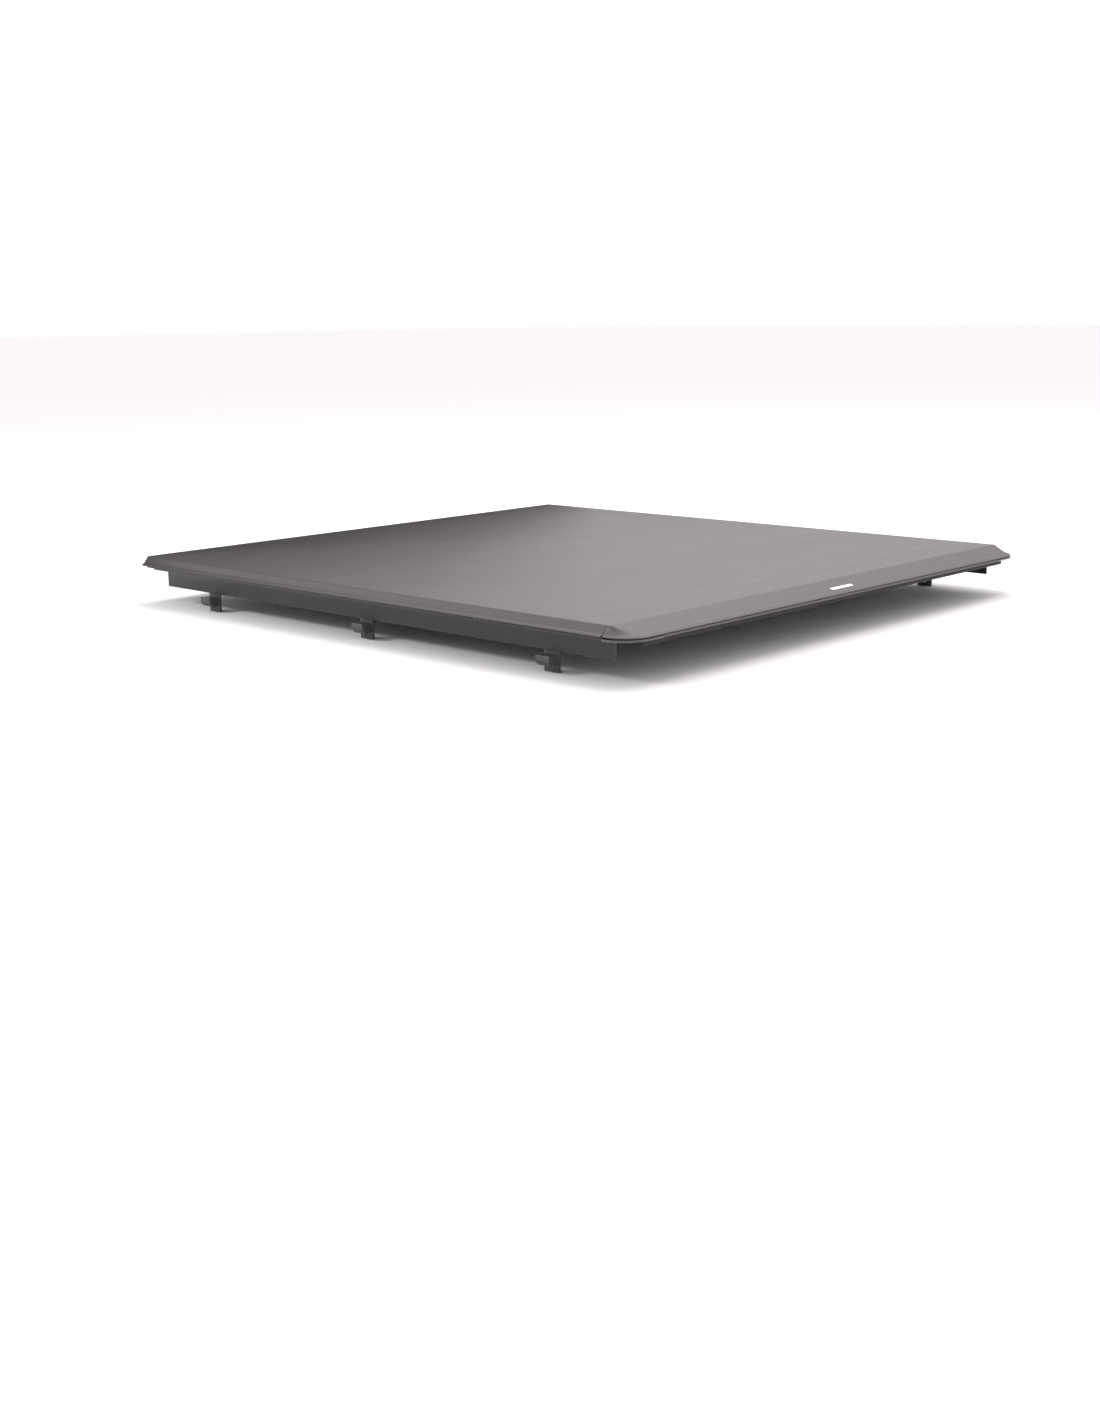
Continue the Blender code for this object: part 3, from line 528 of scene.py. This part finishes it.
def solid_sheet(points, faces, inward):
    """Give a surface its thickness, a round hem edge and closed ends."""
    used = sorted({v for face in faces for v in face})
    renumber = {v: i for i, v in enumerate(used)}
    points = points[used]
    faces = [tuple(renumber[v] for v in face) for face in faces]
    inward = {renumber[a]: renumber[b] for a, b in inward.items()
              if a in renumber and b in renumber}
    normals = vertex_normals(points, faces)
    if normals[:, 2].mean() < 0:
        faces = [face[::-1] for face in faces]
        normals = -normals
    count = len(points)
    hem = sorted(inward)
    thickness = np.full(count, SHEET)
    thickness[hem] = HEM
    thickness[sorted(set(inward.values()))] = HEM
    inner = points - normals * thickness[:, None]
    made = [points, inner]
    rounds = {}
    total = 2 * count
    for v in hem:
        away = points[v] - points[inward[v]]
        away /= np.linalg.norm(away)
        middle = (points[v] + inner[v]) / 2
        arm = points[v] - middle
        ring = [v]
        for turn in (pi / 4, pi / 2, 3 * pi / 4):
            made.append((middle + arm * cos(turn)
                         + away * np.linalg.norm(arm) * sin(turn))[None, :])
            ring.append(total)
            total += 1
        rounds[v] = ring + [v + count]
    out_faces = list(faces)
    kinds = [OUTER] * len(faces)
    for face in faces:
        out_faces.append(tuple(v + count for v in face[::-1]))
        middle = points[list(face)].mean(0)
        on_flap = abs(middle[0]) > CREASE_X + 0.0008 and middle[2] < TOP_Z - 0.002
        kinds.append(TAPE if on_flap and abs(middle[1]) < 0.735 else BACKING)
    directed = {(face[i], face[(i + 1) % len(face)]) for face in faces
                for i in range(len(face))}
    border = [(a, b) for a, b in directed if (b, a) not in directed]
    hem_border = {(a, b) for a, b in border if a in rounds and b in rounds
                  and inward[a] != b and inward[b] != a}
    leaving, arriving = {a for a, b in hem_border}, {b for a, b in hem_border}
    for a, b in sorted(border):
        if (a, b) in hem_border:
            for m in range(4):
                out_faces.append((rounds[b][m], rounds[a][m],
                                  rounds[a][m + 1], rounds[b][m + 1]))
                kinds.append(OUTER)
        else:
            out_faces.append((b, a, a + count, b + count))
            kinds.append(BACKING)
    for v in sorted(leaving - arriving):
        out_faces.append(tuple(rounds[v][::-1]))
        kinds.append(OUTER)
    for v in sorted(arriving - leaving):
        out_faces.append(tuple(rounds[v]))
        kinds.append(OUTER)
    return np.concatenate(made), out_faces, kinds


def stitches(path, normals, pitch=0.0052, length=0.0040, radius=0.00042):
    """Rows of short thread along a path, as (points, faces)."""
    steps = np.linalg.norm(np.diff(path, axis=0), axis=1)
    run = np.concatenate([[0.0], np.cumsum(steps)])
    points, faces = [], []
    sides = 6
    for start in np.arange(pitch * 0.35, run[-1] - length, pitch):
        stations = start + length * np.array([0.0, 0.18, 0.5, 0.82, 1.0])
        spots = np.stack([np.interp(stations, run, path[:, i]) for i in range(3)], axis=1)
        up = np.array([np.interp(start, run, normals[:, i]) for i in range(3)])
        up /= np.linalg.norm(up)
        ahead = spots[-1] - spots[0]
        ahead /= np.linalg.norm(ahead)
        across = np.cross(up, ahead)
        base = len(points)
        for n, (spot, size, rise) in enumerate(zip(spots, (0.25, 0.9, 1.0, 0.9, 0.25),
                                                   (-0.9, 0.15, 0.45, 0.15, -0.9))):
            for s in range(sides):
                turn = s / sides * 2 * pi
                points.append(spot + up * radius * rise + radius * size
                              * (across * cos(turn) + up * sin(turn)))
        for n in range(4):
            for s in range(sides):
                t = (s + 1) % sides
                a = base + n * sides
                faces.append((a + s, a + t, a + sides + t, a + sides + s))
        faces.append(tuple(base + s for s in range(sides))[::-1])
        faces.append(tuple(base + 4 * sides + s for s in range(sides)))
    return points, faces


def mesh_object(name, points, faces, kinds, materials):
    """Make an object with its rest place stored for the textures."""
    mesh = bpy.data.meshes.new(name)
    mesh.from_pydata([tuple(p) for p in points], [], [tuple(f) for f in faces])
    mesh.polygons.foreach_set("material_index", kinds)
    mesh.polygons.foreach_set("use_smooth", [True] * len(faces))
    for material in materials:
        mesh.materials.append(material)
    place = mesh.attributes.new("rest_place", "FLOAT_VECTOR", "POINT")
    place.data.foreach_set("vector", np.asarray(points, float).ravel())
    mesh.validate()
    mesh.update()
    mesh.set_sharp_from_angle(angle=radians(52))
    obj = bpy.data.objects.new(name, mesh)
    bpy.context.scene.collection.objects.link(obj)
    return obj


def with_stitches(points, faces, kinds, rows):
    """Add rows of stitching, each a (path, normals) pair, to a sheet."""
    points, faces, kinds = list(points), list(faces), list(kinds)
    for path, normals in rows:
        more_points, more_faces = stitches(path, normals)
        base = len(points)
        points += more_points
        faces += [tuple(v + base for v in face) for face in more_faces]
        kinds += [SEAM] * len(more_faces)
    return points, faces, kinds


def side_stitch_rows(front, back):
    """Stitch lines on both side hems between two Y."""
    made = []
    ys = np.linspace(front, back, 24)
    for side in (-1.0, 1.0):
        spot = (SIDE[-3] + SIDE[-2]) / 2
        lean = SIDE[-2] - SIDE[-3]
        normal = np.array([-lean[1] * side, 0.0, lean[0]])
        path = np.stack([np.full(24, spot[0] * side), ys, np.full(24, spot[1])], axis=1)
        made.append((path, np.tile(normal / np.linalg.norm(normal), (24, 1))))
    return made


def row_places(front, back, hinge, zone):
    """Y of a piece's rows: close together where it bends."""
    near = np.arange(hinge + zone, hinge - zone - 1e-9, -min(0.0025, zone / 3))
    before = np.linspace(front, near[0], max(2, int((front - near[0]) / 0.008) + 2))
    after = np.linspace(near[-1], back, max(2, int((near[-1] - back) / 0.008) + 2))
    return np.concatenate([before[:-1], near, after[1:]])


SHEET_MATERIALS = [VINYL, SCRIM, LOOP, THREAD]
FRONT_SPLIT = 0.655
REAR_SPLIT = -0.7364

splits = [FRONT_SPLIT] + [(a + b) / 2 for a, b in zip(HINGES, HINGES[1:])] + [REAR_SPLIT]

for index, hinge in enumerate(HINGES, start=1):
    front, back = splits[index - 1], splits[index]
    last = index == len(HINGES)
    zone = REAR_ZONE if last else BEND_ZONE
    ys = row_places(front, back, hinge, zone)
    notch = hinge + zone if last else None
    surface = run_surface(ys, notch)
    solid = solid_sheet(*surface)
    sewn = with_stitches(*solid, side_stitch_rows(front, notch if last else back))
    skin = mesh_object(f"cover_skin_{index:02d}", *sewn, SHEET_MATERIALS)
    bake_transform(skin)
    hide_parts(f"cover_section_{min(index, 14):02d}")

front_radii = np.interp(np.arange(RINGS + 1), (0, CREASE_RING, 17, RINGS),
                        (0.0, 0.004, 0.007, 0.010))
surface = panel_surface(FRONT_SPLIT, 1.0, SIDE, FRONT_END, front_radii, 12)
solid = solid_sheet(*surface[:3])
front_panel = mesh_object("cover_front_panel", *with_stitches(
    *solid, side_stitch_rows(0.785, FRONT_SPLIT)), SHEET_MATERIALS)
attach(front_panel, "root")
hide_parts("cover_front")


CREASE_TURN = 18.75


def corner_dart(ring, k):
    """The pinched corner of the rear panel: a crease down from the top, then a hollow."""
    drop = (TOP_Z - REAR_END[k, 1]) / (TOP_Z - REAR_END[-1, 1])
    moved = np.zeros_like(ring)
    turns = np.arange(ARC_STEPS + 1) / ARC_STEPS * 90.0
    hollow = smooth((turns - CREASE_TURN) / 3.8) * (1.0 - smooth((turns - 34.0) / 46.0))
    size = -0.0017 * hollow * np.sin(np.pi * np.clip(drop, 0.0, 1.0))
    for side, first, step in ((-1.0, 1, 1), (1.0, len(ring) - 2, -1)):
        places = first + step * np.arange(ARC_STEPS + 1)
        flat = turns <= CREASE_TURN + 0.1
        moved[places[flat], 0] = side * REAR_SIDE[k, 0] - ring[places[flat], 0]
        lean = np.radians(turns)
        out = np.stack([side * np.cos(lean) * 0.5, -np.sin(lean) * 0.5,
                        np.full(len(turns), 0.85)], axis=1)
        moved[places] += out * size[:, None]
    return moved


rear_drop = (TOP_Z - REAR_END[:, 1]) / (TOP_Z - REAR_END[-1, 1])
rear_radii = np.interp(np.arange(RINGS + 1), (0, 6, 9), (0.0, 0.0020, 0.0020))
rear_radii = rear_radii + 0.0575 * np.clip(rear_drop, 0.0, 1.0)
flap_open = np.interp(np.arange(RINGS + 1), (0, 8, 9.5, 18, RINGS),
                      (REAR_SPLIT, REAR_SPLIT, -0.7306, -0.7307, -0.7328))
points, faces, inward, ring_ids = panel_surface(REAR_SPLIT, -1.0, REAR_SIDE, REAR_END,
                                                rear_radii, 1, corner_dart, flap_open)
solid = solid_sheet(points, faces, inward)
normals = vertex_normals(points, faces)
if normals[:, 2].mean() < 0:
    normals = -normals
hem_a, hem_b = np.array(ring_ids[-3]), np.array(ring_ids[-2])
hem_path = points[hem_a] * 0.45 + points[hem_b] * 0.55
rear_panel = mesh_object("cover_rear_panel", *with_stitches(
    *solid, [(hem_path, normals[hem_b])]), SHEET_MATERIALS)
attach(rear_panel, "rear_edge")
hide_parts("cover_rear")


# Small soft pieces ------------------------------------------------------------------

def swept(profile, stations, place):
    """A closed profile carried along stations of (distance, scale), with closed ends."""
    profile = np.array(profile)
    centre = profile.mean(0)
    count = len(profile)
    points, faces = [], []
    for distance, scale in stations:
        for u, v in centre + (profile - centre) * scale:
            points.append(place(distance, u, v))
    for n in range(len(stations) - 1):
        for i in range(count):
            j = (i + 1) % count
            a = n * count
            faces.append((a + i, a + j, a + count + j, a + count + i))
    faces.append(tuple(range(count))[::-1])
    faces.append(tuple(range(len(points) - count, len(points))))
    return points, faces


def round_ends(start, end, length, steps, count):
    """Stations from start to end whose scale rises and falls like a rounded end."""
    way = 1.0 if end > start else -1.0
    turns = [i / steps * pi / 2 for i in range(1, steps + 1)]
    opening = [(start + way * length * (1 - cos(t)), 0.25 + 0.75 * sin(t)) for t in turns]
    middle = [(s, 1.0) for s in np.linspace(start + way * length, end - way * length, count)]
    closing = [(end - way * length * (1 - cos(t)), 0.25 + 0.75 * sin(t)) for t in turns]
    return opening + middle[1:-1] + closing[::-1]


def rounded_box(low, high, radius, steps):
    """Outline of a rectangle with round corners."""
    corners = ((high[0] - radius, high[1] - radius, 0.0),
               (low[0] + radius, high[1] - radius, pi / 2),
               (low[0] + radius, low[1] + radius, pi),
               (high[0] - radius, low[1] + radius, 3 * pi / 2))
    return [(x + radius * cos(first + i / steps * pi / 2),
             y + radius * sin(first + i / steps * pi / 2))
            for x, y, first in corners for i in range(steps + 1)]


def soft_piece(name, points, faces, slot_name, node, body, extra=()):
    """Make a small piece, ride it on its body and let it stand for its CAD node."""
    kinds = [0] * len(faces)
    points, faces = list(points), list(faces)
    for more_points, more_faces in extra:
        base = len(points)
        points += list(more_points)
        faces += [tuple(v + base for v in face) for face in more_faces]
        kinds += [1] * len(more_faces)
    piece = mesh_object(name, points, faces, kinds, [SLOT_FINISHES[slot_name], THREAD])
    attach(piece, body)
    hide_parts(node)


low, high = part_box("rear_piping")
bead = rounded_box((low.y, low.z), (high.y, high.z), (high.z - low.z) * 0.499, 7)
soft_piece("rear_hem_bead", *swept(bead, round_ends(low.x, high.x, 0.002, 5, 120),
                                   lambda s, u, v: (s, u, v)),
           "hem_piping", "rear_piping", "rear_edge")


def hook_tape(word, side):
    """The hook tape on one rail's outer slope."""
    low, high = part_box(f"hook_strip_{word}")
    thick = 0.0009
    inner, outer = (high.x, low.x) if side < 0 else (low.x, high.x)
    top = Vector((inner + side * thick, high.z - 0.0001))
    foot = Vector((outer - side * 0.0001, low.z + thick))
    fall = foot - top
    out = Vector((-fall.y, fall.x)).normalized() * side
    strip = rounded_box((0.0, 0.0), (fall.length, thick), 0.0003, 3)

    def on_slope(s, u, v):
        """Place a point of the tape's section on the rail's slope."""
        spot = top + fall * (u / fall.length) + out * (v - thick)
        return (spot.x, s, spot.y)

    soft_piece(f"hook_tape_{word}", *swept(strip, round_ends(low.y, high.y, 0.0006, 2, 160),
                                           on_slope),
               "hook_tape", f"hook_strip_{word}", "root")


def strap_path(low, high, half_thick):
    """Points round the strap's loop, as (y, z, outward y, outward z)."""
    centre_y = (low.y + high.y) / 2
    radius = (high.y - low.y) / 2 - half_thick
    path = []
    for centre_z, first in ((high.z - half_thick - radius, 0.0),
                            (low.z + half_thick + radius, pi)):
        for step in range(17):
            turn = first + step / 16 * pi
            path.append((centre_y + radius * cos(turn), centre_z + radius * sin(turn),
                         cos(turn), sin(turn)))
    dense = []
    for a, b in zip(path, path[1:] + path[:1]):
        gap = np.hypot(b[0] - a[0], b[1] - a[1])
        pieces = max(1, int(gap / 0.003))
        for n in range(pieces):
            dense.append(tuple(np.array(a) * (1 - n / pieces) + np.array(b) * n / pieces))
    return dense


def webbing_section(half, half_thick):
    """Outline of the strap's section, with low ribs along both faces."""
    places = np.linspace(-half * 0.95, half * 0.95, 13)
    upper = [(x, half_thick * (0.72 + 0.10 * cos(x / half * 6 * pi))) for x in places]
    lower = [(x, -z) for x, z in upper]
    edge = half_thick * 0.4
    return (lower + [(half, -edge), (half, edge)] + upper[::-1]
            + [(-half, edge), (-half, -edge)])


def stowed_strap(word):
    """One storage strap: a closed loop of webbing with two rows of stitching."""
    low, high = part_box(f"storage_strap_{word}")
    half_thick = 0.0008
    half, middle_x = (high.x - low.x) / 2, (low.x + high.x) / 2
    section = webbing_section(half, half_thick)
    loop = strap_path(low, high, half_thick)
    count = len(section)
    points, faces = [], []
    for y, z, out_y, out_z in loop:
        length = np.hypot(out_y, out_z)
        for u, v in section:
            points.append((middle_x + u, y + out_y / length * v, z + out_z / length * v))
    for n in range(len(loop)):
        for i in range(count):
            a, b = n * count, ((n + 1) % len(loop)) * count
            j = (i + 1) % count
            faces.append((a + i, a + j, b + j, b + i))
    face_y = high.y - half_thick * 0.4
    rows = [stitches(np.array([(middle_x - half * 0.8, face_y, z),
                               (middle_x + half * 0.8, face_y, z)]),
                     np.array([(0.0, 1.0, 0.0), (0.0, 1.0, 0.0)]), 0.0030, 0.0023, 0.0004)
            for z in (low.z + 0.030, low.z + 0.034)]
    soft_piece(f"stowed_strap_{word}", points, faces, "strap_webbing",
               f"storage_strap_{word}", "root", rows)


for word, side in (("left", -1.0), ("right", 1.0)):
    hook_tape(word, side)
    stowed_strap(word)

low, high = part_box("blank_tag")
tag_centre = (low + high) / 2
fall_rate = (TOP_Z - REAR_LIP_Z) / (REAR_LIP - REAR_CREASE)
down_slope = Vector((0.0, -1.0, -fall_rate)).normalized()
off_slope = Vector((0.0, -fall_rate, 1.0)).normalized()
tag_half = ((high.x - low.x) / 2, 0.0050)
rings = []
for inset, rise in ((0.0003, -0.0004), (0.0, -0.0001), (0.0002, 0.0003), (0.0013, 0.0004),
                    (0.0016, 0.0002), (0.0019, 0.0004), (0.0040, 0.00045)):
    outline = rounded_box((-tag_half[0] + inset, -tag_half[1] + inset),
                          (tag_half[0] - inset, tag_half[1] - inset),
                          max(0.0020 - inset, 0.0004), 5)
    rings.append([Vector((tag_centre.x + u, tag_centre.y, tag_centre.z)) + down_slope * v
                  + off_slope * rise for u, v in outline])
points = [tuple(p) for ring in rings for p in ring]
count = len(rings[0])
faces = [(n * count + i, n * count + (i + 1) % count, (n + 1) * count + (i + 1) % count,
          (n + 1) * count + i) for n in range(len(rings) - 1) for i in range(count)]
faces.append(tuple(range(count))[::-1])
faces.append(tuple(range(len(points) - count, len(points))))
seam = np.array([tuple(p) for p in rings[4] + rings[4][:1]])
soft_piece("plain_tag", points, faces, "woven_tag", "blank_tag", "rear_edge",
           [stitches(seam, np.tile(np.array(off_slope), (len(seam), 1)),
                     0.0024, 0.0018, 0.00022)])


# CAD nodes that keep their shape ----------------------------------------------------

HARD = {
    "side_rail": ("black_aluminium", 0.0004), "header_bar": ("black_aluminium", 0.0006),
    "header_corner": ("moulded_plastic", 0.0010), "rear_bar": ("black_aluminium", 0.0006),
    "cross_bow": ("mill_aluminium", 0.0006), "corner_cap": ("moulded_plastic", 0.0020),
    "latch_plunger": ("zinc_steel", 0.0008), "clamp_bracket": ("clamp_metal", 0.0012),
    "clamp_jaw": ("clamp_metal", 0.0012), "clamp_bolt": ("zinc_steel", 0.0004),
    "rail_seal": ("seal_rubber", 0.0006), "bulkhead_seal": ("seal_rubber", 0.0006),
    "rear_seal": ("seal_rubber", 0.0008), "strap_buckle": ("moulded_plastic", 0.0010),
}

for name, node in sorted(frame["nodes"].items()):
    for stem, (slot_name, width) in HARD.items():
        if name.startswith(stem):
            for place in node.material_slots:
                place.material = SLOT_FINISHES[slot_name]
            weld = node.modifiers.new("weld", "WELD")
            weld.merge_threshold = 0.00002
            rounding = node.modifiers.new("rounding", "BEVEL")
            rounding.width = width
            rounding.segments = 3
            rounding.limit_method = "ANGLE"
            rounding.angle_limit = radians(28)
            rounding.harden_normals = True
            for polygon in node.data.polygons:
                polygon.use_smooth = True
            break


# Stage ------------------------------------------------------------------------------

def stage_material(name, colour, rough):
    """Plain paper or cloth."""
    f = Finish(name)
    mottle = f.noise(1.5, 2.0)
    shade = f.mixed(mottle, tuple(c * 0.995 for c in colour[:3]) + (1.0,), colour)
    return f.finish(shade, rough, 0.0)


def flat_card(name, corners, material):
    """A plane from four corners."""
    mesh = bpy.data.meshes.new(name)
    mesh.from_pydata(corners, [], [(0, 1, 2, 3)])
    mesh.materials.append(material)
    card = bpy.data.objects.new(name, mesh)
    bpy.context.scene.collection.objects.link(card)
    return card


FLOOR_HALF = 60.0
flat_card("floor", [(-FLOOR_HALF, -FLOOR_HALF, 0.0), (FLOOR_HALF, -FLOOR_HALF, 0.0),
                    (FLOOR_HALF, FLOOR_HALF, 0.0), (-FLOOR_HALF, FLOOR_HALF, 0.0)],
          stage_material("floor_paper", grey(0.74), 0.9))
# A dark card ahead of the cover stands in for what the sheet reflects there.
dark_card = flat_card("dark_card", [(-0.80, 0.84, 0.10), (1.00, 0.84, 0.10),
                                    (1.00, 0.86, 0.18), (-0.80, 0.84, 1.15)],
                      stage_material("dark_cloth", grey(0.004), 0.9))
dark_card.visible_camera = False

world = bpy.data.worlds.new("studio")
world.use_nodes = True
world.node_tree.nodes["Background"].inputs["Color"].default_value = (1.0, 0.965, 0.985, 1.0)
world.node_tree.nodes["Background"].inputs["Strength"].default_value = 1.28
bpy.context.scene.world = world


def soft_box(name, place, target, size, watts):
    """A square soft light."""
    light = bpy.data.lights.new(name, "AREA")
    light.shape = "SQUARE"
    light.size = size
    light.energy = watts
    box = bpy.data.objects.new(name, light)
    box.location = place
    box.rotation_euler = (Vector(target) - Vector(place)).to_track_quat("-Z", "Y").to_euler()
    box.visible_camera = False
    bpy.context.scene.collection.objects.link(box)
    return box


ceiling = soft_box("ceiling_box", (1.6, 0.4, 3.6), (1.6, 0.4, 0.0), 4.6, 172.0)
ceiling.data.color = (1.0, 0.955, 0.985)
soft_box("side_box", (-2.9, 1.9, 1.9), (-0.7, -0.7, 0.1), 0.6, 50.0)

bpy.context.scene.view_settings.view_transform = "Standard"


# Camera -----------------------------------------------------------------------------

AZIMUTH, ELEVATION, ROLL = radians(-46.80), radians(13.163), radians(-0.718)
CAMERA_PLACE = Vector((-3.144, -2.841, 0.7004))
back = Vector((sin(AZIMUTH) * cos(ELEVATION), -cos(AZIMUTH) * cos(ELEVATION), sin(ELEVATION)))
across = Vector((0.0, 0.0, 1.0)).cross(back).normalized()
upward = back.cross(across)
right = across * cos(ROLL) + upward * sin(ROLL)
upright = across * -sin(ROLL) + upward * cos(ROLL)
lens = bpy.data.cameras.new("camera")
lens.lens = 43.18
lens.sensor_width = 36.0
camera = bpy.data.objects.new("camera", lens)
camera.matrix_world = Matrix((
    (right.x, upright.x, back.x, CAMERA_PLACE.x),
    (right.y, upright.y, back.y, CAMERA_PLACE.y),
    (right.z, upright.z, back.z, CAMERA_PLACE.z),
    (0.0, 0.0, 0.0, 1.0),
))
lens.clip_end = 200.0
bpy.context.scene.collection.objects.link(camera)
bpy.context.scene.camera = camera
